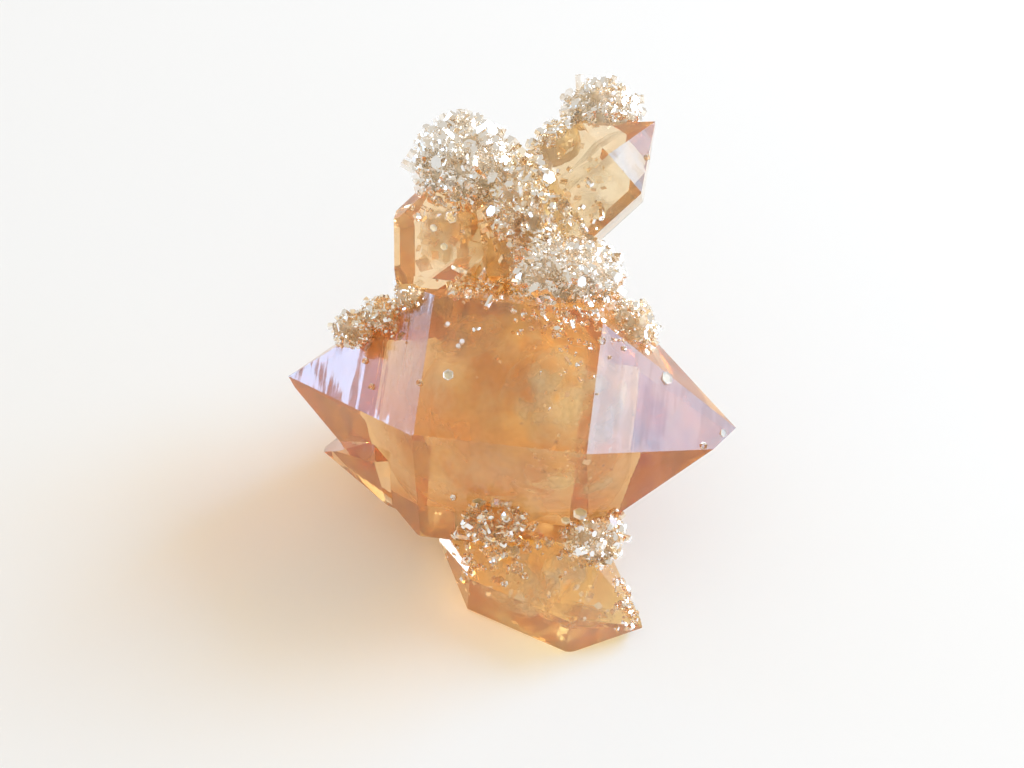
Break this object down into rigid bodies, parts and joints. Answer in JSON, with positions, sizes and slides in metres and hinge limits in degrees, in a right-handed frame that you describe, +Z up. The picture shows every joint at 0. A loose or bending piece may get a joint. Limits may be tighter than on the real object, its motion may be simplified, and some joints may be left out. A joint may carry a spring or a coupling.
{
  "type": "quartz crystal cluster",
  "caption": "Cluster of clear golden quartz: a doubly pointed crystal lying across smaller ones, with crusts of small crystals.",
  "frame": {"origin": "in the flat foot under the middle crystal, below the middle of its long axis", "axes": "+Z up from the surface that it stands on, -Y to the viewer, +X to the right along the middle crystal"},
  "size_m": [0.0716, 0.0748, 0.0579],
  "materials": {
    "quartz": "clear golden quartz with natural glossy faces"
  },
  "bodies": {
    "root": {"quartz_cluster": "quartz"}
  },
  "joints": []
}
